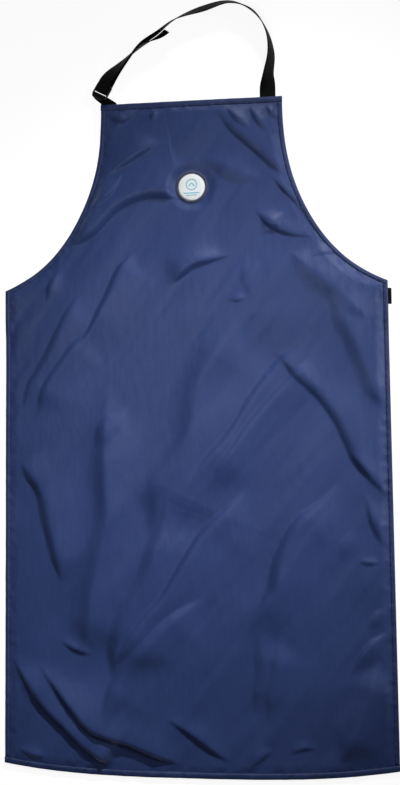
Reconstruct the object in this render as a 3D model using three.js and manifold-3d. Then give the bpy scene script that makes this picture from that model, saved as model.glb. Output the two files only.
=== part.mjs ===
// A lined bib apron laid flat and face up on a level surface, in millimetres.
// +X is towards the right side as it is seen from the front, +Y towards the neck and +Z up.
// The origin is on the surface, under the middle of the bounding box.
import * as THREE from "three";
import { mergeVertices } from "three/addons/utils/BufferGeometryUtils.js";
import Module from "manifold-3d";

// ---- Driving dimensions ----

const APRON_LENGTH = 1067;
const BIB_WIDTH = 292;
const WAIST_WIDTH = 610;
const HEM_WIDTH = 618;
const ARMHOLE_DROP = 298;
const HEM_CORNER_RISE = 18;
const NECK_LOOP_RISE = 163;

const SHELL = 0.6;
const INTERLINING = 1.2;
const LINING = 0.6;
const BINDING = 0.5;
const GAP = 0.3;

const SIDE_BAND = 7;
const TOP_BAND = 10;
const HEM_BAND = 10;

const WEBBING_WIDTH = 25;
const WEBBING = 1.6;
const SEWN_LENGTH = 32;

const BUCKLE_WIDTH = 33;
const BAR = 2.6;
const SLOT_HALF = WEBBING_WIDTH / 2 + 0.8;

const BADGE_RADIUS = 22;
const BADGE_THICKNESS = 0.8;
const BADGE_THREAD = 1.5;
const BADGE_THREAD_FLATNESS = 0.6;
const BADGE_DROP = 139;

const LABEL_WIDTH = 40;
const LABEL_HEIGHT = 60;
const LABEL_THICKNESS = 0.4;
const LABEL_Y = -60;

const STITCH_SIZE = 18;
const STITCH_THICKNESS = 0.5;
const STITCH_MARGIN = 1;

// ---- Places worked out from the driving dimensions ----

const HEM_Y = -(APRON_LENGTH + NECK_LOOP_RISE) / 2;
const BIB_TOP_Y = HEM_Y + APRON_LENGTH;
const WAIST_Y = BIB_TOP_Y - ARMHOLE_DROP;
const WAIST_STRAP_Y = WAIST_Y - 24;

const LINING_Z = BINDING + GAP;
const INTERLINING_Z = LINING_Z + LINING + GAP;
const SHELL_Z = INTERLINING_Z + INTERLINING + GAP;
const FACE_Z = SHELL_Z + SHELL;
const EDGE_HEIGHT = FACE_Z + GAP + BINDING;

// Two layers of webbing and their gaps lie under the waist and under the top of the bib.
const STRAP_LIFT = 2 * (WEBBING + GAP);
const BUCKLE_LIFT = 4;
const WAIST_LIFT_FLAT = 20;
const WAIST_LIFT_REACH = 60;
const TOP_LIFT_FLAT = 40;
const TOP_LIFT_REACH = 80;
const BUCKLE_LIFT_LEFT = 38;
const BUCKLE_LIFT_RIGHT = 190;
const BUCKLE_LIFT_FADE = 38;
const BUCKLE_LIFT_DEPTH = 45;

// The panel's cells: columns across, and rows that crowd where the panel bends or the armhole flares.
const COLUMNS = 16;
const HEM_FADE_Y = HEM_Y + 195;
const SKIRT_ROWS = [
  HEM_Y,
  HEM_Y + 75,
  HEM_FADE_Y,
  HEM_FADE_Y + 180,
  HEM_FADE_Y + 360,
  WAIST_STRAP_Y - WAIST_LIFT_REACH,
  WAIST_STRAP_Y - (WAIST_LIFT_REACH + WAIST_LIFT_FLAT) / 2,
  WAIST_STRAP_Y - WAIST_LIFT_FLAT,
  WAIST_STRAP_Y + WAIST_LIFT_FLAT,
];
const ARMHOLE_CELLS = 12;
const ARMHOLE_ROWS = Array.from(
  { length: ARMHOLE_CELLS + 1 },
  (_, i) => WAIST_Y + ARMHOLE_DROP * (i / ARMHOLE_CELLS) ** 1.5,
);
const ROWS = [...SKIRT_ROWS, ...ARMHOLE_ROWS];

const wasm = await Module();
wasm.setup();

// ---- Finishes ----

const finish = (color, roughness) => () =>
  new THREE.MeshStandardMaterial({ color, roughness, metalness: 0 });
const nylonShell = finish(0x36436b, 0.55);
const liningCloth = finish(0x2c3760, 0.75);
const padding = finish(0xb9bcc4, 0.95);
const webbing = finish(0x1d1f20, 0.85);
const acetal = finish(0x232526, 0.4);
const thread = finish(0x2a3458, 0.8);
const badgeFace = finish(0xe8ebee, 0.6);
const badgeEdge = finish(0x1f2747, 0.8);
const labelCloth = finish(0xdfe2e6, 0.85);

// ---- Helpers ----

const smooth = (value) => THREE.MathUtils.smoothstep(value, 0, 1);

function signedVolume(geometry) {
  const flat = geometry.index ? geometry.toNonIndexed() : geometry;
  const place = flat.getAttribute("position");
  const [a, b, c] = [new THREE.Vector3(), new THREE.Vector3(), new THREE.Vector3()];
  let volume = 0;
  for (let i = 0; i < place.count; i += 3) {
    a.fromBufferAttribute(place, i);
    b.fromBufferAttribute(place, i + 1);
    c.fromBufferAttribute(place, i + 2);
    volume += a.dot(b.cross(c)) / 6;
  }
  return volume;
}

// Moves every vertex of a geometry with a function of its position, and keeps its faces pointing out.
function reshape(geometry, move) {
  const shaped = geometry.index ? geometry.toNonIndexed() : geometry.clone();
  const place = shaped.getAttribute("position");
  for (let i = 0; i < place.count; i++) {
    const { x, y, z } = move(new THREE.Vector3().fromBufferAttribute(place, i));
    place.setXYZ(i, x, y, z);
  }
  if (signedVolume(shaped) < 0) {
    const values = place.array;
    for (let i = 0; i < values.length; i += 9) {
      for (let k = 0; k < 3; k++) {
        [values[i + 3 + k], values[i + 6 + k]] = [values[i + 6 + k], values[i + 3 + k]];
      }
    }
  }
  shaped.deleteAttribute("uv");
  shaped.computeVertexNormals();
  return shaped;
}

function toSolid(geometry) {
  const bare = geometry.clone();
  bare.deleteAttribute("normal");
  bare.deleteAttribute("uv");
  const merged = mergeVertices(bare, 1e-4);
  return new wasm.Manifold(
    new wasm.Mesh({
      numProp: 3,
      vertProperties: merged.getAttribute("position").array,
      triVerts: new Uint32Array(merged.index.array),
    }),
  );
}

function toGeometry(solid) {
  const { vertProperties, triVerts } = solid.getMesh();
  const geometry = new THREE.BufferGeometry();
  geometry.setAttribute("position", new THREE.BufferAttribute(new Float32Array(vertProperties), 3));
  geometry.setIndex(new THREE.BufferAttribute(new Uint32Array(triVerts), 1));
  geometry.computeVertexNormals();
  return geometry;
}

const box = (x0, x1, y0, y1, z0, z1) =>
  new THREE.BoxGeometry(x1 - x0, y1 - y0, z1 - z0).translate(
    (x0 + x1) / 2,
    (y0 + y1) / 2,
    (z0 + z1) / 2,
  );

// A rectangle with round corners, as a shape or as a hole.
function roundedRectangle(x0, x1, y0, y1, radius, path = new THREE.Shape()) {
  path.moveTo(x0 + radius, y0);
  path.lineTo(x1 - radius, y0);
  path.absarc(x1 - radius, y0 + radius, radius, -Math.PI / 2, 0);
  path.absarc(x1 - radius, y1 - radius, radius, 0, Math.PI / 2);
  path.absarc(x0 + radius, y1 - radius, radius, Math.PI / 2, Math.PI);
  path.absarc(x0 + radius, y0 + radius, radius, Math.PI, 1.5 * Math.PI);
  path.closePath();
  return path;
}

// A plate of this outline and thickness, centred on z = 0, with its rims eased by the bevel.
function plate(outline, thickness, bevel = 0) {
  return new THREE.ExtrudeGeometry(outline, {
    depth: thickness - 2 * bevel,
    curveSegments: 4,
    bevelEnabled: bevel > 0,
    bevelThickness: bevel,
    bevelSize: bevel,
    bevelOffset: -bevel,
    bevelSegments: 1,
  }).translate(0, 0, -thickness / 2 + bevel);
}

// A closed slab of square cells from (0, 0, 0) to (columns, rows, 1). Top and bottom split along the
// same diagonals, so that stacked slabs bend alike.
function cellSlab(columns, rows) {
  const corners = [];
  const triangles = [];
  const corner = (column, row, top) => (top * (rows + 1) + row) * (columns + 1) + column;
  for (const top of [0, 1]) {
    for (let row = 0; row <= rows; row++) {
      for (let column = 0; column <= columns; column++) corners.push(column, row, top);
    }
  }
  for (let row = 0; row < rows; row++) {
    for (let column = 0; column < columns; column++) {
      const [a, b, c, d] = [[0, 0], [1, 0], [1, 1], [0, 1]].map(([i, j]) => corner(column + i, row + j, 0));
      const up = corner(0, 0, 1);
      triangles.push(a, c, b, a, d, c);
      triangles.push(a + up, b + up, c + up, a + up, c + up, d + up);
    }
  }
  const rim = [];
  for (let column = 0; column < columns; column++) rim.push([column, 0]);
  for (let row = 0; row < rows; row++) rim.push([columns, row]);
  for (let column = columns; column > 0; column--) rim.push([column, rows]);
  for (let row = rows; row > 0; row--) rim.push([0, row]);
  rim.forEach(([column, row], i) => {
    const [nextColumn, nextRow] = rim[(i + 1) % rim.length];
    const [a, b] = [corner(column, row, 0), corner(nextColumn, nextRow, 0)];
    const [c, d] = [corner(nextColumn, nextRow, 1), corner(column, row, 1)];
    triangles.push(a, b, c, a, c, d);
  });
  const slab = new THREE.BufferGeometry();
  slab.setAttribute("position", new THREE.Float32BufferAttribute(corners, 3));
  slab.setIndex(triangles);
  return slab;
}

// A flat band whose middle passes through the stations, each {at, across}.
function ribbon(stations) {
  const last = stations.length - 1;
  const band = new THREE.BoxGeometry(1, WEBBING_WIDTH, WEBBING, last, 1, 1);
  return reshape(band, (p) => {
    const i = Math.round((p.x + 0.5) * last);
    const { at, across } = stations[i];
    const before = stations[Math.max(i - 1, 0)].at;
    const after = stations[Math.min(i + 1, last)].at;
    const normal = after.clone().sub(before).cross(across).normalize();
    return at.clone().addScaledVector(across, p.y).addScaledVector(normal, p.z);
  });
}

// ---- The panel's outline and height ----

function armholeFlare(t) {
  return 0.8 * t ** 2.5 + 0.2 * t ** 12;
}

function halfWidth(y) {
  if (y >= WAIST_Y) {
    const t = (BIB_TOP_Y - y) / ARMHOLE_DROP;
    return THREE.MathUtils.lerp(BIB_WIDTH, WAIST_WIDTH, armholeFlare(t)) / 2;
  }
  const down = (WAIST_Y - y) / (WAIST_Y - HEM_Y);
  return THREE.MathUtils.lerp(WAIST_WIDTH, HEM_WIDTH, down) / 2;
}

// How much longer a distance across the edge is when it is measured along X.
function edgeSlant(y) {
  if (y < WAIST_Y) return 1;
  const step = 0.5;
  const low = Math.max(y - step, WAIST_Y);
  const slope = (halfWidth(low) - halfWidth(low + step)) / step;
  return Math.hypot(1, slope);
}

function hemRise(x) {
  return HEM_CORNER_RISE * Math.abs((2 * x) / HEM_WIDTH) ** 3;
}

// The panel rises over the waist straps, over their buckles and over the sewn ends at the bib's top.
function lift(x, y) {
  const offWaist = Math.abs(y - WAIST_STRAP_Y);
  const offTop = BIB_TOP_Y - y;
  const waist = 1 - smooth((offWaist - WAIST_LIFT_FLAT) / (WAIST_LIFT_REACH - WAIST_LIFT_FLAT));
  const top = 1 - smooth((offTop - TOP_LIFT_FLAT) / (TOP_LIFT_REACH - TOP_LIFT_FLAT));
  const offBuckles = Math.max(BUCKLE_LIFT_LEFT - x, x - BUCKLE_LIFT_RIGHT);
  const buckleDepth = (offWaist - WAIST_LIFT_FLAT) / (BUCKLE_LIFT_DEPTH - WAIST_LIFT_FLAT);
  const buckles = (1 - smooth(offBuckles / BUCKLE_LIFT_FADE)) * (1 - smooth(buckleDepth));
  return STRAP_LIFT * (waist + top) + BUCKLE_LIFT * buckles;
}

// ---- Soft layers and edge bindings ----

function panelLayer(bottom, thickness) {
  const last = ROWS.length - 1;
  const inset = BINDING + GAP;
  return reshape(cellSlab(COLUMNS, last), (p) => {
    const row = Math.round(p.y);
    const level = ROWS[row];
    const x = ((2 * p.x) / COLUMNS - 1) * (halfWidth(level) - inset * edgeSlant(level));
    const nearHem = Math.max(0, (HEM_FADE_Y - level) / (HEM_FADE_Y - HEM_Y));
    const pulledIn = row === 0 ? inset : row === last ? -inset : 0;
    const y = level + hemRise(x) * nearHem + pulledIn;
    const z = bottom + p.z * thickness + lift(x, y);
    return new THREE.Vector3(x, y, z);
  });
}

// A folded strip: its section opens inwards, u from the fold and h up, and place() puts each station.
function foldedStrip(band, stations, place) {
  const section = new THREE.Shape(
    [
      [0, 0],
      [band, 0],
      [band, BINDING],
      [BINDING, BINDING],
      [BINDING, EDGE_HEIGHT - BINDING],
      [band, EDGE_HEIGHT - BINDING],
      [band, EDGE_HEIGHT],
      [0, EDGE_HEIGHT],
    ].map(([u, h]) => new THREE.Vector2(u, h)),
  );
  const last = stations.length - 1;
  const strip = new THREE.ExtrudeGeometry(section, { depth: last, steps: last, bevelEnabled: false });
  return reshape(strip, (p) => {
    const spot = place(stations[Math.round(p.z)], p.x);
    return new THREE.Vector3(spot.x, spot.y, p.y + lift(spot.x, spot.y));
  });
}

function sideStrip(side, levels) {
  return foldedStrip(SIDE_BAND, levels, (y, u) => ({
    x: side * (halfWidth(y) - u * edgeSlant(y)),
    y,
  }));
}

function armholeBinding(side) {
  const levels = ARMHOLE_ROWS.slice(1, -1);
  return sideStrip(side, [WAIST_Y + GAP, ...levels, BIB_TOP_Y - TOP_BAND - GAP]);
}

function sideBinding(side) {
  const start = HEM_Y + HEM_CORNER_RISE + HEM_BAND + GAP;
  const levels = SKIRT_ROWS.filter((y) => y > start);
  const straightEnd = WAIST_Y - 0.01;
  return sideStrip(side, [start, ...levels, straightEnd]);
}

function topBinding() {
  const ends = [-BIB_WIDTH / 2, BIB_WIDTH / 2];
  return foldedStrip(TOP_BAND, ends, (x, u) => ({ x, y: BIB_TOP_Y - u }));
}

function hemBinding() {
  const stations = Array.from({ length: COLUMNS + 1 }, (_, i) => (i / COLUMNS - 0.5) * HEM_WIDTH);
  return foldedStrip(HEM_BAND, stations, (x, u) => ({ x, y: HEM_Y + hemRise(x) + u }));
}

// ---- Badge, label and stitching ----

const BADGE_SIDES = 40;

function badgeDisc() {
  const disc = new THREE.CylinderGeometry(BADGE_RADIUS, BADGE_RADIUS, BADGE_THICKNESS, BADGE_SIDES);
  return disc.rotateX(Math.PI / 2);
}

function badgeRim() {
  const radius = BADGE_RADIUS + GAP + BADGE_THREAD;
  return new THREE.TorusGeometry(radius, BADGE_THREAD, 6, BADGE_SIDES).scale(1, 1, BADGE_THREAD_FLATNESS);
}

// A square frame of stitching.
function stitchBox() {
  const line = 1;
  const outer = STITCH_SIZE / 2;
  const inner = outer - line;
  const outline = roundedRectangle(-outer, outer, -outer, outer, 1);
  outline.holes.push(roundedRectangle(-inner, inner, -inner, inner, 0.5, new THREE.Path()));
  return plate(outline, STITCH_THICKNESS);
}

function careLabel() {
  const clear = 0.1;
  const [halfHeight, top] = [LABEL_HEIGHT / 2, clear + LABEL_THICKNESS];
  return box(0, LABEL_WIDTH, -halfHeight, halfHeight, clear, top);
}

// ---- Neck loop ----

// Where the loop folds at the bib's top edge: the webbing turns about this line.
const NECK_FOLD_Y = BIB_TOP_Y + 3.5;
const NECK_FOLD_Z = STRAP_LIFT / 2 - 0.1;
const FOLD_START = 1.6;
const FOLD_CLEAR = 2.2;
const NECK_STRAP_X = 123;
const ANCHOR_X = -134;

// The neck strap's middle line from the bib's right corner to its buckle at the left corner:
// x, y above the bib's top edge, z, and the angle in degrees by which the webbing leans on its edge.
const NECK_COURSE = [
  [NECK_STRAP_X, NECK_FOLD_Y - BIB_TOP_Y - FOLD_START, NECK_FOLD_Z, 0],
  [NECK_STRAP_X, 12, 2.4, 6],
  [125, 34, 10, 50],
  [130, 70, 12, 68],
  [123, 106, 12.6, 80],
  [102, 138, 12.8, 80],
  [66, 155, 11.8, 61],
  [22, 147, 10.8, 48],
  [-24, 131, 13, 68],
  [-52, 111, 13.6, 79],
  [-80, 93, 13.6, 79],
  [-104, 70, 13, 58],
  [-130, 43, 11.4, 27],
  [-143, 22, 10.4, 22],
];
const MAIN_STEPS = 52;
const TAIL_END = 0.655;
const TAIL_STEPS = 18;
const TAIL_END_LEAN = 50;
const BUCKLE_LEG = 3.8;
const ANCHOR_LEG = 3.5;
const ANCHOR_DIP = 6;
const ANCHOR_STEPS = 12;
const LEGS_TOGETHER = 0.87;
const LEGS_APART = 0.955;
const BAR_SPACING = 10;

const UP = new THREE.Vector3(0, 0, 1);
const toRadians = THREE.MathUtils.degToRad;

const neckLine = new THREE.CatmullRomCurve3(
  NECK_COURSE.map(([x, y, z]) => new THREE.Vector3(x, BIB_TOP_Y + y, z)),
);
const neckLean = new THREE.CatmullRomCurve3(
  NECK_COURSE.map(([, , , lean]) => new THREE.Vector3(lean, 0, 0)),
);

// The webbing's frame at t: its travel direction, the direction across it with the inner edge raised,
// and its face normal.
function neckFrame(t, lean = neckLean.getPoint(t).x) {
  const along = neckLine.getTangent(t);
  const inward = UP.clone().cross(along).normalize();
  const across = inward
    .multiplyScalar(Math.cos(toRadians(lean)))
    .addScaledVector(UP, Math.sin(toRadians(lean)));
  across.addScaledVector(along, -across.dot(along)).normalize();
  const normal = along.clone().cross(across).normalize();
  return { at: neckLine.getPoint(t), along, across, normal };
}

const buckleFrame = neckFrame(1);

// The stations of a half turn round a bar, from centre + from to centre - from.
function halfTurn(centre, from, towards, across, radius) {
  const steps = 6;
  return Array.from({ length: steps - 1 }, (_, i) => {
    const angle = (Math.PI * (i + 1)) / steps;
    const at = centre
      .clone()
      .addScaledVector(from, radius * Math.cos(angle))
      .addScaledVector(towards, radius * Math.sin(angle));
    return { at, across };
  });
}

// One strap: sewn end, loop, round the buckle's middle bar, and a free tail back along its inner face.
function neckStrap() {
  const nearBuckle = (t) => smooth((t - LEGS_TOGETHER) / (LEGS_APART - LEGS_TOGETHER));
  const main = Array.from({ length: MAIN_STEPS + 1 }, (_, i) => {
    const t = i / MAIN_STEPS;
    const { at, across, normal } = neckFrame(t);
    return { at: at.addScaledVector(normal, BUCKLE_LEG * nearBuckle(t)), across };
  });
  const turn = halfTurn(
    buckleFrame.at,
    buckleFrame.normal,
    buckleFrame.along,
    buckleFrame.across,
    BUCKLE_LEG,
  );
  const tail = Array.from({ length: TAIL_STEPS + 1 }, (_, i) => {
    const t = THREE.MathUtils.lerp(1, TAIL_END, i / TAIL_STEPS);
    const strap = neckFrame(t);
    const opening = smooth((i / TAIL_STEPS - 0.6) / 0.4);
    const lean = THREE.MathUtils.lerp(neckLean.getPoint(t).x, TAIL_END_LEAN, opening);
    const { across } = neckFrame(t, lean);
    const offset = THREE.MathUtils.lerp(WEBBING + GAP, BUCKLE_LEG, nearBuckle(t));
    const at = strap.at
      .addScaledVector(strap.across, -WEBBING_WIDTH / 2)
      .addScaledVector(across, WEBBING_WIDTH / 2)
      .addScaledVector(strap.normal, -offset);
    return { at, across };
  });
  return ribbon([...main, ...turn, ...tail]);
}

// The anchor rises from the bib's left corner, turns over the buckle's rear bar and comes back down.
function neckAnchorLoop() {
  const bar = buckleFrame.at.clone().addScaledVector(buckleFrame.along, BAR_SPACING);
  const foot = new THREE.Vector3(ANCHOR_X, NECK_FOLD_Y, NECK_FOLD_Z);
  const below = bar.clone().addScaledVector(buckleFrame.normal, -ANCHOR_DIP);
  const line = new THREE.QuadraticBezierCurve3(foot, below, bar);
  const footGap = (WEBBING + GAP) / 2;
  const level = new THREE.Vector3(1, 0, 0);
  const frames = Array.from({ length: ANCHOR_STEPS + 1 }, (_, i) => {
    const t = i / ANCHOR_STEPS;
    const across = level.clone().lerp(buckleFrame.across, smooth(t)).normalize();
    const along = line.getTangent(t);
    along.addScaledVector(across, -along.dot(across)).normalize();
    const normal = along.clone().cross(across);
    const gap = THREE.MathUtils.lerp(footGap, ANCHOR_LEG, smooth(t));
    return { at: line.getPoint(t), along, across, normal, gap };
  });
  const leg = (side) =>
    frames.map(({ at, across, normal, gap }) => ({
      at: at.clone().addScaledVector(normal, side * gap),
      across,
    }));
  const { normal, along, across } = frames[ANCHOR_STEPS];
  const turn = halfTurn(bar, normal, along, across, ANCHOR_LEG);
  return ribbon([...leg(1), ...turn, ...leg(-1).reverse()]);
}

// A slider with three bars: the anchor holds the rear one and the strap turns round the middle one.
function neckBuckle() {
  const rail = 3;
  const end = BAR_SPACING + BAR / 2;
  const outline = roundedRectangle(-end, end, -SLOT_HALF - rail, SLOT_HALF + rail, 2.5);
  for (const side of [-1, 1]) {
    const ends = [side * (BAR / 2), side * (BAR_SPACING - BAR / 2)].sort((a, b) => a - b);
    outline.holes.push(roundedRectangle(ends[0], ends[1], -SLOT_HALF, SLOT_HALF, 0.6, new THREE.Path()));
  }
  const slider = plate(outline, BAR, 0.4);
  const { at, along, across, normal } = buckleFrame;
  return slider.applyMatrix4(new THREE.Matrix4().makeBasis(along, across, normal).setPosition(at));
}

// ---- Waist straps and side-release buckle ----

const LEFT_FOLD_X = -303;
const RIGHT_FOLD_X = 309;
const LEFT_RUN = 360;
const RIGHT_RUN = 135;
const LEFT_TAIL = 150;
const RIGHT_TAIL = 36;
const LOOP_RADIUS = 3.2;
const WAIST_BAR_Z = WEBBING / 2 + LOOP_RADIUS;
const SEWN_Z = WEBBING + GAP;

// A strap that runs from its fold (x = 0) under the panel, round the buckle's bar and back on itself.
function waistStrap(run, tail) {
  const across = new THREE.Vector3(0, 1, 0);
  const low = WEBBING / 2;
  const high = low + WEBBING + GAP;
  const easing = 22;
  const station = (x, z) => ({ at: new THREE.Vector3(x, 0, z), across });
  const out = [0, run / 2, run].map((x) => station(x, low));
  const turn = halfTurn(
    new THREE.Vector3(run, 0, WAIST_BAR_Z),
    new THREE.Vector3(0, 0, -1),
    new THREE.Vector3(1, 0, 0),
    across,
    LOOP_RADIUS,
  );
  const back = Array.from({ length: 6 }, (_, i) => {
    const t = i / 5;
    const z = THREE.MathUtils.lerp(WAIST_BAR_Z + LOOP_RADIUS, high, smooth(t));
    return station(run - easing * t, z);
  });
  return ribbon([...out, ...turn, ...back, station(run - tail, high)]);
}

const SLOT_CLEAR = LOOP_RADIUS + WEBBING / 2 + 0.4;
const PLUG_BASE_END = 17;
const SHOULDER_THICKNESS = 6.4;
const TONGUE_END = 36;
const TONGUE_HALF = 4;
const TONGUE_THICKNESS = 3;
const ARM_PIVOT_X = 19;
const ARM_PIVOT_Y = 11;
const ARM_THICKNESS = 4;

// Local to its bar: x away from the webbing, y across, z up.
function plugBase() {
  const half = BUCKLE_WIDTH / 2;
  const body = roundedRectangle(-BAR / 2, PLUG_BASE_END, -half, half, 1.2);
  body.holes.push(roundedRectangle(BAR / 2, SLOT_CLEAR, -SLOT_HALF, SLOT_HALF, 0.5, new THREE.Path()));
  const base = plate(body, BAR, 0.3);
  const shoulder = roundedRectangle(SLOT_CLEAR + 1, PLUG_BASE_END, -half, half, 2);
  const tongue = roundedRectangle(PLUG_BASE_END - 3, TONGUE_END, -TONGUE_HALF, TONGUE_HALF, 2);
  return toGeometry(
    toSolid(base)
      .add(toSolid(plate(shoulder, SHOULDER_THICKNESS, 0.8)))
      .add(toSolid(plate(tongue, TONGUE_THICKNESS, 0.4))),
  );
}

// A springy arm with a rounded root and an outward barb, for the side with y above 0.
function plugArm(side) {
  const outline = new THREE.Shape();
  outline.moveTo(ARM_PIVOT_X - 1.4, ARM_PIVOT_Y - 0.6);
  outline.absarc(ARM_PIVOT_X, ARM_PIVOT_Y, 1.5, Math.PI, 0.5 * Math.PI, true);
  outline.lineTo(27, 13.2);
  outline.quadraticCurveTo(29, 16, 33, 15.6);
  outline.quadraticCurveTo(38, 14.6, 41, 10.4);
  outline.quadraticCurveTo(41, 8.6, 39, 9);
  outline.quadraticCurveTo(32, 11, ARM_PIVOT_X, ARM_PIVOT_Y - 1.5);
  outline.closePath();
  return reshape(plate(outline, ARM_THICKNESS), (p) => new THREE.Vector3(p.x, side * p.y, p.z));
}

const SOCKET_LENGTH = 43;
const SOCKET_THICKNESS = 8;
const CAVITY_START = 9;
const CAVITY_HALF = 13.2;
const CAVITY_HEIGHT = 5.2;
const WINDOW_START = 14;
const WINDOW_END = 26;

// Its cavity is open at the mouth, and a window on each side lets the plug's barbs out.
function socketBody() {
  const half = BUCKLE_WIDTH / 2;
  const past = 1;
  const [floor, ceiling] = [-CAVITY_HEIGHT / 2, CAVITY_HEIGHT / 2];
  const block = plate(roundedRectangle(SLOT_CLEAR + 1, SOCKET_LENGTH, -half, half, 3), SOCKET_THICKNESS, 1);
  const frame = roundedRectangle(-BAR / 2, CAVITY_START, -half, half, 1.2);
  frame.holes.push(roundedRectangle(BAR / 2, SLOT_CLEAR, -SLOT_HALF, SLOT_HALF, 0.5, new THREE.Path()));
  const cavity = box(CAVITY_START, SOCKET_LENGTH + past, -CAVITY_HALF, CAVITY_HALF, floor, ceiling);
  const window = box(WINDOW_START, WINDOW_END, -half - past, half + past, floor, ceiling);
  const shell = toSolid(block).add(toSolid(plate(frame, BAR, 0.3)));
  return toGeometry(shell.subtract(toSolid(cavity)).subtract(toSolid(window)));
}

// ---- Assembly ----

const apron = new THREE.Group();

function add(name, geometry, material, x = 0, y = 0, z = 0, parent = apron) {
  const mesh = new THREE.Mesh(geometry, material());
  mesh.name = name;
  mesh.position.set(x, y, z);
  parent.add(mesh);
}

add("front_shell", panelLayer(SHELL_Z, SHELL), nylonShell);
add("interlining", panelLayer(INTERLINING_Z, INTERLINING), padding);
add("back_lining", panelLayer(LINING_Z, LINING), liningCloth);

add("binding_top", topBinding(), nylonShell);
add("binding_hem", hemBinding(), nylonShell);
for (const [word, side] of [["left", -1], ["right", 1]]) {
  add(`binding_armhole_${word}`, armholeBinding(side), nylonShell);
  add(`binding_side_${word}`, sideBinding(side), nylonShell);
}

const badgeY = BIB_TOP_Y - BADGE_DROP;
const badgeZ = FACE_Z + GAP;
add("badge_disc", badgeDisc(), badgeFace, 0, badgeY, badgeZ + BADGE_THICKNESS / 2);
add("badge_rim", badgeRim(), badgeEdge, 0, badgeY, badgeZ + BADGE_THREAD * BADGE_THREAD_FLATNESS);
add("care_label", careLabel(), labelCloth, SIDE_BAND + 2 - WAIST_WIDTH / 2, LABEL_Y);

// Sewn ends of the webbing, behind the panel, and the stitching that holds them, on its face.
const sewnTop = NECK_FOLD_Y - FOLD_CLEAR;
const halfWebbing = WEBBING_WIDTH / 2;
const sewnUnderTop = (thickness) =>
  box(
    -halfWebbing,
    halfWebbing,
    sewnTop - SEWN_LENGTH,
    sewnTop,
    NECK_FOLD_Z - thickness / 2,
    NECK_FOLD_Z + thickness / 2,
  );
add("neck_strap_sewn_end", sewnUnderTop(WEBBING), webbing, NECK_STRAP_X);
const doubledWebbing = 2 * WEBBING + 0.2;
add("neck_anchor_sewn_end", sewnUnderTop(doubledWebbing), webbing, ANCHOR_X);
const stitchZ = STRAP_LIFT + FACE_Z + GAP + STITCH_THICKNESS / 2;
const topStitchY = BIB_TOP_Y - TOP_BAND - STITCH_MARGIN - STITCH_SIZE / 2;
const leftStitchX = ANCHOR_X + 5.5;
add("neck_stitch_right", stitchBox(), thread, NECK_STRAP_X, topStitchY, stitchZ);
add("neck_stitch_left", stitchBox(), thread, leftStitchX, topStitchY, stitchZ);

for (const [word, side, fold] of [["left", -1, LEFT_FOLD_X], ["right", 1, RIGHT_FOLD_X]]) {
  const ends = [fold, fold - side * SEWN_LENGTH].sort((a, b) => a - b);
  const sewn = box(ends[0], ends[1], -halfWebbing, halfWebbing, SEWN_Z, SEWN_Z + WEBBING);
  add(`waist_strap_sewn_end_${word}`, sewn, webbing, 0, WAIST_STRAP_Y);
  const stitchX = side * (WAIST_WIDTH / 2 - SIDE_BAND - STITCH_MARGIN - STITCH_SIZE / 2);
  add(`waist_stitch_${word}`, stitchBox(), thread, stitchX, WAIST_STRAP_Y, stitchZ);
}

add("neck_strap", neckStrap(), webbing);
add("neck_anchor_loop", neckAnchorLoop(), webbing);
add("neck_buckle", neckBuckle(), acetal);

const leftStrap = new THREE.Group();
leftStrap.position.set(LEFT_FOLD_X, WAIST_STRAP_Y, 0);
apron.add(leftStrap);
add("waist_strap_left", waistStrap(LEFT_RUN, LEFT_TAIL), webbing, 0, 0, 0, leftStrap);
add("waist_plug", plugBase(), acetal, LEFT_RUN, 0, WAIST_BAR_Z, leftStrap);
add("waist_plug_arm_back", plugArm(1), acetal, LEFT_RUN, 0, WAIST_BAR_Z, leftStrap);
add("waist_plug_arm_front", plugArm(-1), acetal, LEFT_RUN, 0, WAIST_BAR_Z, leftStrap);

// The right strap is turned half round so that it runs inwards from the right edge.
const rightStrap = new THREE.Group();
rightStrap.position.set(RIGHT_FOLD_X, WAIST_STRAP_Y, 0);
rightStrap.rotation.z = Math.PI;
apron.add(rightStrap);
add("waist_strap_right", waistStrap(RIGHT_RUN, RIGHT_TAIL), webbing, 0, 0, 0, rightStrap);
add("waist_socket", socketBody(), acetal, RIGHT_RUN, 0, WAIST_BAR_Z, rightStrap);

export default apron;
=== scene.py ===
"""A lined nylon bib apron lying face up on a white table, with its straps, buckles and badge.

Metres throughout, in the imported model's frame: +X to the right of the front, +Y to the neck, +Z up.
"""
import math

import bpy
import numpy as np
from mathutils import Euler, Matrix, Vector


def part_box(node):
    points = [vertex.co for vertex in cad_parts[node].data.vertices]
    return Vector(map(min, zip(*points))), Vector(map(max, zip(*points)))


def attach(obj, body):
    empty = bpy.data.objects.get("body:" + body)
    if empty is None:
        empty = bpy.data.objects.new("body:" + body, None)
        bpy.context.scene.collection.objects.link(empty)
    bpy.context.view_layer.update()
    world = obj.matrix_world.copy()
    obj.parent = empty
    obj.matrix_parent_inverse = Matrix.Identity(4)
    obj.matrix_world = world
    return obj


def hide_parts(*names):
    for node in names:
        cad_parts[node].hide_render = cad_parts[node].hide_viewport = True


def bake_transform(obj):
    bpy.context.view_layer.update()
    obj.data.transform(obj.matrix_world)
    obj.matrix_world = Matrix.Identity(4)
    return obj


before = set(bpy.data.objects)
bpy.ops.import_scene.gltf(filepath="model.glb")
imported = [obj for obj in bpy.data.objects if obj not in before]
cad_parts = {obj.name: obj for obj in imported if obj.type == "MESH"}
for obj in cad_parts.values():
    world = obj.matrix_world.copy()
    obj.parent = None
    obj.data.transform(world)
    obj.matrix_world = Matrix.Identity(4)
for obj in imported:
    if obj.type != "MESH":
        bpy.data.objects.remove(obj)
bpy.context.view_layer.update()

MM = 0.001

# ---- Dimensions shared with the CAD model ----

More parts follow.
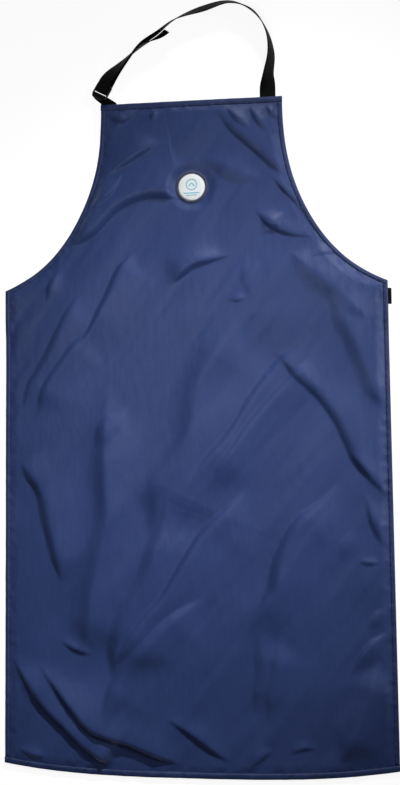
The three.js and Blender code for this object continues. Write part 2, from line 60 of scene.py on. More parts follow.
BIB_TOP_Y = 452 * MM
HEM_Y = -615 * MM
WAIST_Y = 154 * MM
WAIST_STRAP_Y = 130 * MM
BIB_WIDTH = 292 * MM
WAIST_WIDTH = 610 * MM
HEM_WIDTH = 618 * MM
HEM_CORNER_RISE = 18 * MM

CLOTH = 0.6 * MM
CORE = 1.2 * MM
BINDING = 0.5 * MM
GAP = 0.3 * MM
LINING_Z = BINDING + GAP
CORE_Z = LINING_Z + CLOTH + GAP
FACE_Z = CORE_Z + CORE + GAP + CLOTH

SIDE_BAND = 7 * MM
TOP_BAND = 10 * MM
HEM_BAND = 10 * MM

WEBBING_WIDTH = 25 * MM
WEBBING = 1.6 * MM
STRAP_LIFT = 2 * (WEBBING + GAP)
STRAP_LIFT_FLAT = 20 * MM
TOP_LIFT_FLAT = 40 * MM
LIFT_FADE = 40 * MM
BUCKLE_LIFT = 4 * MM
BUCKLE_LIFT_LEFT = 38 * MM
BUCKLE_LIFT_RIGHT = 190 * MM
BUCKLE_LIFT_FADE = 38 * MM
BUCKLE_LIFT_DEPTH = 25 * MM
HEM_FADE_Y = -420 * MM

BADGE_Y = BIB_TOP_Y - 139 * MM
BADGE_RADIUS = 22 * MM

NECK_STRAP_X = 123 * MM
ANCHOR_X = -134 * MM
NECK_FOLD_Y = BIB_TOP_Y + 3.5 * MM
NECK_FOLD_Z = 1.8 * MM
LEFT_FOLD_X = -303 * MM
RIGHT_FOLD_X = 309 * MM

# ---- Small helpers ----


def smooth(value):
    """An S-shaped step from 0 at 0 to 1 at 1."""
    t = np.clip(value, 0, 1)
    return t * t * (3 - 2 * t)


def mix(a, b, t):
    return a + (b - a) * t


def unit(vectors):
    return vectors / np.linalg.norm(vectors, axis=-1, keepdims=True)


def soft_noise(x, y, size, seed):
    """Smooth random values from -1 to 1 over a lattice of cells of this size, which repeats."""
    cells, middle = 97, 48
    lattice = np.random.default_rng(seed).uniform(-1, 1, (cells, cells))
    u, v = np.asarray(x) / size + middle, np.asarray(y) / size + middle
    i, j = np.floor(u).astype(int), np.floor(v).astype(int)
    s, t = smooth(u - i), smooth(v - j)
    left, right, low, high = i % cells, (i + 1) % cells, j % cells, (j + 1) % cells
    near = mix(lattice[left, low], lattice[right, low], s)
    far = mix(lattice[left, high], lattice[right, high], s)
    return mix(near, far, t)


def add_mesh(name, points, faces, material, uv=None):
    """A mesh object from arrays, smooth shaded, with one material and an optional UV pair per point."""
    mesh = bpy.data.meshes.new(name)
    mesh.from_pydata([tuple(p) for p in np.asarray(points, float)], [], [tuple(f) for f in faces])
    mesh.polygons.foreach_set("use_smooth", [True] * len(mesh.polygons))
    if uv is not None:
        corners = np.empty(len(mesh.loops), int)
        mesh.loops.foreach_get("vertex_index", corners)
        layer = mesh.uv_layers.new(name="UVMap")
        layer.data.foreach_set("uv", np.asarray(uv, np.float32)[corners].ravel())
    mesh.materials.append(material)
    mesh.update()
    obj = bpy.data.objects.new(name, mesh)
    bpy.context.scene.collection.objects.link(obj)
    return obj


def grid_faces(rows, columns, start=0, flip=False, wrap=False):
    """Quads over a grid of rows x columns points; wrap joins the last column to the first."""
    reach = columns if wrap else columns - 1
    faces = []
    for r in range(rows - 1):
        for c in range(reach):
            a = start + r * columns + c
            b = start + r * columns + (c + 1) % columns
            quad = (a, b, b + columns, a + columns)
            faces.append(quad[::-1] if flip else quad)
    return faces


def sheet_faces(rows, columns):
    """Faces of a thin sheet: its upper grid of points, its lower grid after it, and the rim between them."""
    count = rows * columns
    faces = grid_faces(rows, columns) + grid_faces(rows, columns, start=count, flip=True)
    rim = list(range(columns)) + [r * columns + columns - 1 for r in range(1, rows)]
    rim += list(range(count - 2, count - columns - 1, -1)) + [r * columns for r in range(rows - 2, 0, -1)]
    for a, b in zip(rim, rim[1:] + rim[:1]):
        faces.append((b, a, a + count, b + count))
    return faces


def tube_faces(count, size, start=0):
    """Faces through a run of equal rings of points, capped at both ends."""
    faces = grid_faces(count, size, start=start, wrap=True)
    faces.append(tuple(start + k for k in range(size))[::-1])
    faces.append(tuple(start + (count - 1) * size + k for k in range(size)))
    return faces


def loop_faces(count, size, flip=False):
    """Faces through equal rings of points, the last of which joins the first."""
    faces = []
    for r in range(count):
        after = (r + 1) % count
        for k in range(size):
            beside = (k + 1) % size
            a, b = r * size + k, r * size + beside
            c, d = after * size + beside, after * size + k
            faces.append((a, d, c, b) if flip else (a, b, c, d))
    return faces


def swept_mesh(name, rings, material, uv=None):
    """A closed solid through a list of equal rings of points."""
    rings = np.asarray(rings, float)
    faces = tube_faces(*rings.shape[:2])
    return add_mesh(name, rings.reshape(-1, 3), faces, material, uv)


# ---- Materials ----


class Shader:
    """One node material around a Principled shader, with short names for the nodes it needs."""

    def __init__(self, name, roughness, **settings):
        self.material = bpy.data.materials.new(name)
        self.material.use_nodes = True
        self.tree = self.material.node_tree
        self.shader = self.tree.nodes["Principled BSDF"]
        self.shader.inputs["Roughness"].default_value = roughness
        for socket, value in settings.items():
            self.shader.inputs[socket.replace("_", " ")].default_value = value

    def node(self, kind, settings=(), **links):
        made = self.tree.nodes.new(kind)
        for key, value in dict(settings).items():
            setattr(made, key, value)
        for key, value in links.items():
            self.plug(made.inputs[key.replace("_", " ")], value)
        return made

    def plug(self, socket, value):
        if isinstance(value, bpy.types.NodeSocket):
            self.tree.links.new(value, socket)
        else:
            socket.default_value = value

    def math(self, operation, a, b=0.0):
        made = self.tree.nodes.new("ShaderNodeMath")
        made.operation = operation
        self.plug(made.inputs[0], a)
        self.plug(made.inputs[1], b)
        return made.outputs[0]

    def coordinates(self, output="Object", stretch=(1, 1, 1), turn=0.0):
        source = self.node("ShaderNodeTexCoord").outputs[output]
        mapping = self.node("ShaderNodeMapping", Vector=source)
        mapping.inputs["Scale"].default_value = stretch
        mapping.inputs["Rotation"].default_value = (0, 0, turn)
        return mapping.outputs["Vector"]

    def noise(self, vector, scale, detail=3.0):
        return self.node("ShaderNodeTexNoise", Vector=vector, Scale=scale, Detail=detail).outputs["Fac"]

    def wave(self, vector, pitch, direction):
        """Threads across one direction; the wave texture repeats 20 times per unit at scale 1 / pi."""
        scale = math.pi / (10 * pitch)
        made = self.node("ShaderNodeTexWave", {"bands_direction": direction}, Vector=vector, Scale=scale)
        return made.outputs["Fac"]

    def ramp(self, factor, dark, light, low=0.3, high=0.7):
        made = self.node("ShaderNodeValToRGB", Fac=factor)
        made.color_ramp.elements[0].position = low
        made.color_ramp.elements[0].color = (*dark, 1)
        made.color_ramp.elements[1].position = high
        made.color_ramp.elements[1].color = (*light, 1)
        return made.outputs["Color"]

    def blend(self, factor, a, b, kind="MIX"):
        made = self.node("ShaderNodeMix", {"data_type": "RGBA", "blend_type": kind})
        self.plug(made.inputs[0], factor)
        self.plug(made.inputs[6], a)
        self.plug(made.inputs[7], b)
        return made.outputs[2]

    def spread(self, value, low, high):
        return self.node("ShaderNodeMapRange", Value=value, To_Min=low, To_Max=high).outputs["Result"]

    def finish(self, colour, roughness, *bumps):
        """Links colour, roughness and a chain of (height, distance) bumps, and returns the material."""
        self.plug(self.shader.inputs["Base Color"], colour)
        self.plug(self.shader.inputs["Roughness"], roughness)
        normal = None
        for height, distance in bumps:
            bump = self.node("ShaderNodeBump", Height=height, Distance=distance, Strength=1.0)
            if normal is not None:
                self.plug(bump.inputs["Normal"], normal)
            normal = bump.outputs["Normal"]
        if normal is not None:
            self.plug(self.shader.inputs["Normal"], normal)
        return self.material


def scaled(colour, factor):
    return tuple(channel * factor for channel in colour)


NAVY = (0.028, 0.049, 0.155)
NAVY_LINING = (0.026, 0.038, 0.105)
BLACK_WEBBING = (0.0022, 0.0026, 0.0026)
ACETAL = (0.018, 0.019, 0.020)


def nylon(name, colour, roughness=0.4, thread=0.45 * MM, crinkle=0.25 * MM):
    """Coated nylon taffeta: a fine square weave, faint cloudy dye, and small sharp crinkles."""
    made = Shader(name, roughness, Sheen_Weight=0.02, Sheen_Roughness=0.4, Specular_IOR_Level=0.2)
    place = made.coordinates()
    clouds = made.noise(place, 14.0)
    dye = made.ramp(clouds, scaled(colour, 0.93), scaled(colour, 1.06))
    weave = made.math("MULTIPLY", made.wave(place, thread, "X"), made.wave(place, thread * 1.1, "Y"))
    colour_out = made.blend(0.18, dye, made.ramp(weave, scaled(colour, 0.6), scaled(colour, 1.3)))
    along_folds = made.coordinates(stretch=(1.0, 0.35, 1.0), turn=math.radians(-35))
    crinkles = made.noise(along_folds, 70.0, 4.0)
    rough = made.spread(clouds, roughness - 0.05, roughness + 0.06)
    return made.finish(colour_out, rough, (crinkles, crinkle * 4), (weave, 0.05 * MM))


def felt(name, colour):
    made = Shader(name, 0.95)
    place = made.coordinates()
    fibres = made.noise(place, 900.0, 5.0)
    tufts = made.noise(place, 120.0)
    fine = made.ramp(fibres, scaled(colour, 0.7), colour)
    tint = made.blend(0.4, fine, made.ramp(tufts, scaled(colour, 0.8), colour))
    return made.finish(tint, 0.95, (fibres, 0.4 * MM))


def woven_webbing(name, colour, rib=1.9 * MM, lane=3.1 * MM):
    """Ribbed polypropylene webbing. U is the distance along the strap and V across it, in metres."""
    made = Shader(name, 0.6, Specular_IOR_Level=0.08)
    parts = made.node("ShaderNodeSeparateXYZ", Vector=made.coordinates("UV"))
    along, over = parts.outputs[0], parts.outputs[1]
    stagger = made.math("FLOOR", made.math("DIVIDE", over, lane))
    step = made.math("ADD", made.math("DIVIDE", along, rib), made.math("MULTIPLY", stagger, 0.5))
    ribs = made.spread(made.math("SINE", made.math("MULTIPLY", step, 2 * math.pi)), 0.0, 1.0)
    lanes = made.math("ABSOLUTE", made.math("SINE", made.math("MULTIPLY", over, math.pi / lane)))
    relief = made.math("MULTIPLY", ribs, made.math("POWER", lanes, 0.4))
    fuzz = made.noise(made.coordinates(), 600.0)
    tint = made.ramp(relief, scaled(colour, 0.55), scaled(colour, 1.5), 0.1, 0.9)
    worn = made.blend(made.spread(fuzz, 0.0, 0.2), tint, (*scaled(colour, 1.8), 1))
    return made.finish(worn, made.spread(relief, 0.72, 0.55), (relief, 0.28 * MM), (fuzz, 0.05 * MM))


def moulded_plastic(name, colour):
    made = Shader(name, 0.38, Specular_IOR_Level=0.5)
    place = made.coordinates()
    grain = made.noise(place, 1500.0)
    scuffs = made.noise(made.coordinates(stretch=(1, 6, 1), turn=0.5), 160.0, 5.0)
    tint = made.ramp(scuffs, scaled(colour, 0.85), scaled(colour, 1.5), 0.45, 0.8)
    return made.finish(tint, made.spread(scuffs, 0.32, 0.5), (grain, 0.03 * MM))


def twisted_thread(name, colour):
    made = Shader(name, 0.55, Sheen_Weight=0.3, Sheen_Roughness=0.4)
    place = made.coordinates(turn=math.radians(45))
    ply = made.wave(place, 0.35 * MM, "DIAGONAL")
    tint = made.ramp(ply, scaled(colour, 0.65), scaled(colour, 1.25))
    return made.finish(tint, made.spread(ply, 0.65, 0.45), (ply, 0.06 * MM))


def twill(name, colour):
    made = Shader(name, 0.7, Sheen_Weight=0.2, Sheen_Roughness=0.5)
    place = made.coordinates(turn=math.radians(30))
    cords = made.wave(place, 0.7 * MM, "X")
    clouds = made.noise(place, 60.0)
    fine = made.ramp(cords, scaled(colour, 0.86), colour)
    tint = made.blend(0.5, fine, made.ramp(clouds, scaled(colour, 0.94), colour))
    return made.finish(tint, made.spread(cords, 0.78, 0.62), (cords, 0.1 * MM))


def white_table(name):
    """A plain white table top that keeps its tone out to the corners of the view."""
    made = Shader(name, 0.9, Emission_Color=(1, 1, 1, 1), Emission_Strength=0.9)
    clouds = made.noise(made.coordinates(), 3.0)
    return made.finish(made.ramp(clouds, (0.18, 0.18, 0.18), (0.2, 0.2, 0.2)), 0.9)


SHELL_NYLON = nylon("navy_nylon_shell", NAVY)
BINDING_NYLON = nylon("navy_nylon_binding", scaled(NAVY, 0.8), roughness=0.5, crinkle=0.1 * MM)
LINING_NYLON = nylon("navy_lining", NAVY_LINING, roughness=0.6, crinkle=0.15 * MM)
FELT = felt("grey_felt_core", (0.5, 0.52, 0.55))
STRAP = woven_webbing("black_webbing", BLACK_WEBBING)
PLASTIC = moulded_plastic("black_acetal", ACETAL)
SEAM_THREAD = twisted_thread("navy_seam_thread", (0.05, 0.065, 0.13))
BOX_THREAD = twisted_thread("dark_box_thread", (0.022, 0.03, 0.07))
BADGE_TWILL = twill("badge_twill", (0.82, 0.86, 0.88))
BADGE_CYAN = twisted_thread("badge_cyan_thread", (0.22, 0.58, 0.72))
BADGE_RIM = twisted_thread("badge_rim_thread", (0.02, 0.028, 0.075))
LABEL_SATIN = twill("label_satin", (0.72, 0.74, 0.76))

# ---- The panel's outline and height ----


def half_width(y):
    """Half the panel's width at each y: the armhole's flare, then the skirt's slight widening."""
    armhole = np.clip((BIB_TOP_Y - y) / (BIB_TOP_Y - WAIST_Y), 0, 1)
    flare = 0.8 * armhole**2.5 + 0.2 * armhole**12
    down = np.clip((WAIST_Y - y) / (WAIST_Y - HEM_Y), 0, 1)
    return mix(BIB_WIDTH, WAIST_WIDTH, flare) / 2 + (HEM_WIDTH - WAIST_WIDTH) / 2 * down


def edge_slant(y):
    """How much longer a distance across the armhole edge is when it is measured along X."""
    step = 0.25 * MM
    low = np.maximum(y - step, WAIST_Y)
    slope = (half_width(low) - half_width(low + 2 * step)) / (2 * step)
    return np.where(y < WAIST_Y, 1.0, np.hypot(1, slope))


def hem_rise(x):
    """The hem curves up towards its corners."""
    return HEM_CORNER_RISE * np.abs(2 * x / HEM_WIDTH) ** 3


def off_buckles(x):
    """How far x is beside the zone of the waist buckles, negative inside it."""
    return np.maximum(BUCKLE_LIFT_LEFT - x, x - BUCKLE_LIFT_RIGHT)


def lift(x, y):
    """The panel rises over the waist straps, over their buckles and over the neck strap's sewn ends."""
    off_waist = np.abs(y - WAIST_STRAP_Y)
    off_top = BIB_TOP_Y - y
    waist = 1 - smooth((off_waist - STRAP_LIFT_FLAT) / LIFT_FADE)
    top = 1 - smooth((off_top - TOP_LIFT_FLAT) / LIFT_FADE)
    beside = 1 - smooth(off_buckles(x) / BUCKLE_LIFT_FADE)
    buckles = beside * (1 - smooth((off_waist - STRAP_LIFT_FLAT) / BUCKLE_LIFT_DEPTH))
    return STRAP_LIFT * (waist + top) + BUCKLE_LIFT * buckles


def slack_lift(x, y):
    """How much higher the loose shell spans over the straps than the layers below it."""
    off_waist = np.maximum(np.abs(y - WAIST_STRAP_Y) - 15 * MM, 0)
    off_top = np.maximum(BIB_TOP_Y - y - 35 * MM, 0)
    waist = 1 - smooth(off_waist / (120 * MM))
    top = 1 - smooth(off_top / (90 * MM))
    buckles = 1 - smooth(np.hypot(np.maximum(off_buckles(x), 0), off_waist) / (90 * MM))
    return np.maximum(STRAP_LIFT * (waist + top) + BUCKLE_LIFT * buckles - lift(x, y), 0)


def edge_distance(x, y):
    """Distance in from the nearest edge of the panel."""
    side = (half_width(y) - np.abs(x)) / edge_slant(y)
    corner = (WAIST_WIDTH / 2 - np.abs(x)) / edge_slant(WAIST_Y) + WAIST_Y - y
    side = np.where(y < WAIST_Y, np.minimum(side, corner), side)
    return np.minimum(np.minimum(side, BIB_TOP_Y - y), y - HEM_Y - hem_rise(x))


# ---- Folds of the shell ----

# Each fold: the line of its shaded slope (x, y), its rise, the reach of the shaded slope and that of the
# lit slope, all in millimetres. Light comes from the top right, so shaded slopes face the bottom left.
FOLDS = [
    # the bib
    ([(-45, 385), (-85, 365), (-145, 325)], 4.0, 6, 30),
    ([(-105, 335), (-130, 305), (-165, 280)], 3.2, 5, 24),
    ([(30, 318), (-20, 300), (-75, 300), (-120, 280), (-160, 245), (-200, 215)], 6.0, 9, 50),
    ([(25, 435), (80, 390), (120, 355), (155, 312)], 3.6, 9, 40),
    ([(5, 350), (50, 335), (80, 320), (118, 313)], 3.4, 13, 40),
    ([(98, 268), (130, 245), (205, 220)], 3.6, 7, 24),
    ([(108, 228), (130, 245), (150, 268)], 2.4, 7, 18),
    ([(125, 322), (160, 290), (215, 212)], 3.2, 6, 24),
    # gathers under the bib's top edge
    ([(50, 432), (95, 398)], 2.6, 5, 14),
    ([(90, 438), (122, 392)], 2.6, 5, 14),
    ([(118, 436), (142, 408)], 2.2, 4, 10),
    ([(-80, 441), (-100, 425), (-122, 408)], 3.0, 4, 12),
    ([(-138, 432), (-118, 424), (-98, 420)], 2.6, 4, 9),
    ([(-52, 441), (-66, 424)], 2.4, 4, 8),
    # the waist
    ([(-35, 148), (0, 185), (70, 200)], 5.0, 7, 40),
    ([(52, 127), (92, 130)], 1.8, 3, 12),
    ([(78, 205), (94, 120)], 1.4, 9, 20),
    ([(-98, 212), (-120, 180), (-138, 138), (-190, 50)], 4.2, 6, 40),
    ([(-220, 188), (-242, 135)], 3.2, 5, 22),
    ([(-165, 95), (-215, 35), (-262, -55)], 3.5, 8, 30),
    ([(-185, 150), (-228, 70), (-283, -40)], 3.0, 7, 24),
    ([(-112, -28), (-168, -95)], 3.2, 10, 26),
    ([(148, 202), (180, 165), (220, 130), (268, 85)], 4.5, 16, 50),
    ([(185, 192), (240, 195), (268, 148)], 2.8, 6, 18),
    ([(205, 130), (255, 40), (292, -60)], 4.5, 15, 44),
    ([(120, 45), (190, -15), (240, -90), (268, -160)], 4.0, 10, 34),
    # the skirt's long diagonals
    ([(62, 122), (20, 50), (-5, 0), (-22, -85), (-65, -160), (-92, -245)], 7.5, 24, 70),
    ([(175, 62), (115, 10), (62, -70), (-20, -165)], 3.6, 8, 34),
    ([(190, 45), (105, -45), (10, -170)], 3.2, 8, 30),
    ([(-150, 0), (-157, -110), (-155, -200), (-170, -280), (-185, -370), (-197, -425)], 7.0, 20, 46),
    ([(-290, -125), (-255, -160), (-230, -250), (-218, -320)], 4.5, 9, 34),
    ([(78, -160), (15, -235), (-30, -300), (-90, -380), (-137, -440)], 5.5, 9, 44),
    ([(-50, -180), (-85, -300), (-125, -380), (-142, -470)], 6.0, 14, 44),
    ([(8, -330), (-65, -395), (-120, -455), (-160, -520)], 5.0, 11, 40),
    ([(228, -158), (160, -225), (130, -270), (115, -325), (58, -398)], 6.0, 11, 44),
    ([(90, -385), (97, -455), (84, -520)], 2.6, 10, 24),
    ([(124, -395), (118, -460), (104, -540)], 2.6, 9, 22),
    # short creases by the skirt's sides
    ([(238, -108), (300, -192)], 3.0, 7, 20),
    ([(258, -178), (292, -265)], 3.0, 7, 20),
    ([(238, -222), (226, -285)], 1.4, 6, 16),
    ([(250, -280), (285, -280)], 1.8, 3, 10),
    ([(-218, -408), (-168, -426)], 2.6, 4, 16),
    # the hem's corners
    ([(-298, -430), (-240, -515), (-165, -575), (-138, -598)], 6.5, 6, 40),
    ([(-258, -440), (-200, -510), (-160, -540), (-115, -560), (-70, -580), (-28, -598)], 7.5, 7, 44),
    ([(-290, -578), (-265, -585), (-240, -588)], 2.2, 4, 10),
    ([(-52, -523), (5, -560), (52, -592)], 4.0, 5, 26),
    ([(80, -600), (100, -582), (120, -572)], 2.0, 4, 10),
    ([(140, -580), (160, -568), (185, -570)], 1.8, 4, 10),
    ([(266, -425), (252, -480), (232, -530), (205, -580)], 8.0, 20, 40),
    ([(298, -385), (262, -412), (234, -452)], 4.0, 5, 26),
    ([(290, -345), (262, -385)], 1.6, 8, 24),
]
TOWARDS_LIGHT = np.array([0.7, 0.7])
# Long low waves of the slack cloth: rise and size in millimetres, stretch along the folds, and seed.
SLACK_WAVES = [(2.2, 48, 3.5, 3), (1.0, 21, 4, 4), (0.5, 10, 7, 9)]


def through(points, steps):
    """A smooth curve through points (centripetal Catmull-Rom), with the same number of steps per span.

    Columns after the third are carried along the curve and don't shape it.
    """
    points = np.asarray(points, float)
    points = np.vstack([2 * points[0] - points[1], points, 2 * points[-1] - points[-2]])
    gaps = np.sqrt(np.linalg.norm(np.diff(points[:, :3], axis=0), axis=1))[:, None]
    slopes = np.diff(points, axis=0) / gaps
    doubled = (points[2:] - points[:-2]) / (gaps[1:] + gaps[:-1])
    tangents = slopes[:-1] - doubled + slopes[1:]
    t = np.linspace(0, 1, steps, endpoint=False)[None, :, None]
    a, b = points[1:-2, None, :], points[2:-1, None, :]
    span = gaps[1:-1, None, :]
    m, n = tangents[:-1, None, :] * span, tangents[1:, None, :] * span
    curve = (2 * t**3 - 3 * t**2 + 1) * a + (t**3 - 2 * t**2 + t) * m
    curve = curve + (3 * t**2 - 2 * t**3) * b + (t**3 - t**2) * n
    return np.vstack([curve.reshape(-1, points.shape[1]), points[-2]])


def nearest_on(line, x, y):
    """For each point: offset from the line's nearest place, and that place's step and share of the line."""
    steps = np.diff(line, axis=0)
    spots = np.stack([x, y], axis=-1)[:, None, :]
    reached = ((spots - line[:-1]) * steps).sum(axis=-1) / (steps**2).sum(axis=-1)
    reached = np.clip(reached, 0, 1)
    offset = spots - (line[:-1] + reached[..., None] * steps)
    step = np.linalg.norm(offset, axis=-1).argmin(axis=1)
    rows = np.arange(len(x))
    return offset[rows, step], step, (step + reached[rows, step]) / len(steps)


def one_fold(x, y, line, rise, shade, lit):
    """A rounded ridge whose narrow shaded slope lies on the line and whose wide slope faces the light."""
    crest = through(line, 6)
    along = unit(np.gradient(crest, axis=0))
    side = np.stack([-along[:, 1], along[:, 0]], axis=1)
    if (side @ TOWARDS_LIGHT).mean() < 0:
        side = -side
    crest = crest + 0.7 * shade * side
    offset, step, share = nearest_on(crest, x, y)
    lit_side = (offset * side[step]).sum(axis=1) >= 0
    length = np.linalg.norm(np.diff(crest, axis=0), axis=1).sum()
    taper = smooth(np.minimum(share, 1 - share) / np.clip(50 / length, 0.22, 0.45))
    span = np.linalg.norm(offset, axis=1) / mix(0.3, 1.0, taper)
    lit_slope = np.exp(-((span / min(lit, 0.18 * length)) ** 1.5))
    soft_slope = np.exp(-((span / shade) ** 1.7))
    crisp_slope = np.maximum(1 - (span / (1.5 * shade)) ** 2, 0)
    shaded_slope = mix(crisp_slope, soft_slope, smooth((shade - 8) / 10))
    return 1.5 * rise * taper * np.where(lit_side, lit_slope, shaded_slope)


def fold_height(x, y):
    """Height of the shell's folds above its lowest lie, in metres, for flat arrays x and y."""
    wander = 4 * MM
    u = (x + wander * soft_noise(x, y, 55 * MM, 1)) / MM
    v = (y + wander * soft_noise(x, y, 55 * MM, 2)) / MM
    total = np.zeros_like(u)
    for line, rise, shade, lit in FOLDS:
        ends = np.asarray(line, float)
        middle, reach = ends.mean(axis=0), np.ptp(ends, axis=0) / 2 + 3 * lit
        close = (np.abs(u - middle[0]) < reach[0]) & (np.abs(v - middle[1]) < reach[1])
        if close.any():
            total[close] += one_fold(u[close], v[close], line, rise, shade, lit)
    run, over = 0.6 * x + 0.8 * y, 0.8 * x - 0.6 * y
    for rise, size, stretch, seed in SLACK_WAVES:
        total += rise * (1 + soft_noise(over, run / stretch, size * MM, seed))
    return total * MM


def pucker(x, y):
    """Small gathers that the edge stitching pulls into the cloth beside the bindings."""
    inside = edge_distance(x, y)
    strength = np.exp(-(((inside - 8 * MM) / (10 * MM)) ** 2))
    return 0.9 * MM * strength * soft_noise(x, y, 9 * MM, 5)


def face_height(x, y):
    """Top of the shell at points inside the outline."""
    shape = np.shape(x)
    x, y = np.ravel(x), np.ravel(y)
    held = mix(0.25, 1.0, smooth(edge_distance(x, y) / (22 * MM)))
    badge = smooth((np.hypot(x, y - BADGE_Y) - 24 * MM) / (18 * MM))
    loose = fold_height(x, y) * badge + slack_lift(x, y)
    height = FACE_Z + lift(x, y) + loose * held + pucker(x, y)
    return height.reshape(shape)


# ---- Cloth layers ----


def panel_grid(spacing, inset):
    """Points over the whole outline, drawn in by inset, as arrays of rows x columns."""
    fine = np.linspace(HEM_Y, BIB_TOP_Y, 4000)
    steps = np.hypot(np.diff(fine), np.diff(half_width(fine)))
    travelled = np.concatenate([[0], np.cumsum(steps)])
    levels = np.interp(np.linspace(0, travelled[-1], int(travelled[-1] / spacing)), travelled, fine)
    columns = int(HEM_WIDTH / spacing)
    across = np.linspace(-1, 1, columns)
    x = across[None, :] * (half_width(levels) - inset * edge_slant(levels))[:, None]
    hem_share = np.clip((HEM_FADE_Y - levels) / (HEM_FADE_Y - HEM_Y), 0, 1)[:, None]
    y = levels[:, None] + hem_rise(x) * hem_share
    y[0] += inset
    y[-1] -= inset
    return x, y


def cloth_layer(name, spacing, top, thickness, material):
    """A thin closed sheet over the panel whose upper side is at top(x, y)."""
    x, y = panel_grid(spacing, BINDING + GAP)
    upper = np.stack([x, y, top(x, y)], axis=-1).reshape(-1, 3)
    lower = upper - [0, 0, thickness]
    return add_mesh(name, np.vstack([upper, lower]), sheet_faces(*x.shape), material)


def core_top(x, y):
    """The padding spans the straps as the shell does, but it doesn't follow the shell's folds."""
    held = smooth(edge_distance(x, y) / (40 * MM))
    return CORE_Z + CORE + lift(x, y) + 0.8 * slack_lift(x, y) * held - 0.2 * MM


def lining_top(x, y):
    """The lining ripples a little under the core, but it lies flat over the straps and at its edges."""
    wide = 0.6 * MM * (1 + soft_noise(x, y, 40 * MM, 6))
    ripples = wide + 0.25 * MM * (1 + soft_noise(x, y, 14 * MM, 7))
    off_strap = smooth((np.abs(y - WAIST_STRAP_Y) - 15 * MM) / (30 * MM))
    off_edge = smooth(edge_distance(x, y) / (25 * MM))
    return LINING_Z + CLOTH + lift(x, y) + np.minimum(ripples * off_strap * off_edge, 0.3 * MM)


shell = cloth_layer("shell_cloth", 2.6 * MM, face_height, CLOTH, SHELL_NYLON)
core = cloth_layer("core_felt", 8 * MM, core_top, CORE, FELT)
lining = cloth_layer("lining_cloth_back", 6 * MM, lining_top, CLOTH, LINING_NYLON)

# ---- Bound edges ----


def height_at(surface, place):
    """The height of a surface function at one place."""
    return float(surface(*[np.array([value]) for value in place])[0])


def edge_section(place, inward, band, phase):
    """The folded strip's ring at one place on the outline: under, round the nose, over, and back inside."""

    def inside(distance):
        return place + inward * distance

    nose = 1.3 * MM
    depths = (nose, band / 2, band)
    wave = 0.35 * MM * math.sin(phase)
    base = height_at(lift, inside(3 * MM))
    tops = [height_at(face_height, inside(u)) + GAP + BINDING + wave * u / band for u in depths]
    middle, half = (base + tops[0]) / 2, (tops[0] - base) / 2
    ring = [(band, base), (nose, base)]
    for degrees in (-60, -30, 0, 30, 60):
        a = math.radians(degrees)
        ring.append((nose - nose * math.cos(a), middle + half * math.sin(a)))
    ring += zip(depths, tops)
    ring += [(u, top - BINDING) for u, top in zip(depths[::-1], tops[::-1])]
    for degrees in (45, 0, -45):
        a = math.radians(degrees)
        reach = nose - BINDING
        ring.append((nose - reach * math.cos(a), middle + (half - BINDING) * math.sin(a)))
    ring += [(nose, base + BINDING), (band, base + BINDING)]
    return [(*inside(u), height) for u, height in ring]


def inward_of(points):
    """Unit vectors pointing into the panel, for an outline that runs anticlockwise."""
    along = unit(np.gradient(points, axis=0))
    return np.stack([-along[:, 1], along[:, 0]], axis=1)


def distances(points):
    """How far each point of a line is from its start, along the line."""
    return np.concatenate([[0], np.cumsum(np.linalg.norm(np.diff(points, axis=0), axis=1))])


def resample(points, spacing):
    """The same line with points at this spacing."""
    gone = distances(points)
    where = np.linspace(0, gone[-1], max(2, int(gone[-1] / spacing)))
    return np.stack([np.interp(where, gone, points[:, k]) for k in range(2)], axis=1)


def armhole_line(side):
    y = np.linspace(WAIST_Y + GAP, BIB_TOP_Y - TOP_BAND - GAP, 400)
    return np.stack([side * half_width(y), y], axis=1)[:: side]


def side_line(side):
    y = np.linspace(HEM_Y + HEM_CORNER_RISE + HEM_BAND + GAP, WAIST_Y - GAP / 2, 50)
    return np.stack([side * half_width(y), y], axis=1)[:: side]


def hem_line():
    x = np.linspace(-HEM_WIDTH / 2, HEM_WIDTH / 2, 200)
    return np.stack([x, HEM_Y + hem_rise(x)], axis=1)


TOP_LINE = np.array([[BIB_WIDTH / 2, BIB_TOP_Y], [-BIB_WIDTH / 2, BIB_TOP_Y]])
# Outlines run anticlockwise, each with the width of its binding.
EDGES = {
    "binding_top": (TOP_LINE, TOP_BAND),
    "binding_hem": (hem_line(), HEM_BAND),
    "binding_armhole_left": (armhole_line(-1), SIDE_BAND),
    "binding_armhole_right": (armhole_line(1), SIDE_BAND),
    "binding_side_left": (side_line(-1), SIDE_BAND),
    "binding_side_right": (side_line(1), SIDE_BAND),
}
# The top and hem bindings are straight strips, so they turn in along Y. The others turn in from the outline.
STRAIGHT_IN = {"binding_top": [0.0, -1.0], "binding_hem": [0.0, 1.0]}


def inward_at(name, points):
    """Directions into the panel from points along one edge."""
    if name in STRAIGHT_IN:
        return np.tile(STRAIGHT_IN[name], (len(points), 1))
    return inward_of(points)


def binding(name, line, band):
    """One folded strip, whose face waves a little between its stitches."""
    points = resample(line, 3 * MM)
    rings = []
    for i, (place, into) in enumerate(zip(points, inward_at(name, points))):
        phase = 2 * math.pi * i * 3 / 11 + 2 * soft_noise(*place, 30 * MM, 8)
        rings.append(edge_section(place, into, band, phase))
    return swept_mesh(name + "_cloth", rings, BINDING_NYLON)


bindings = [binding(name, line, band) for name, (line, band) in EDGES.items()]

# ---- Stitches ----

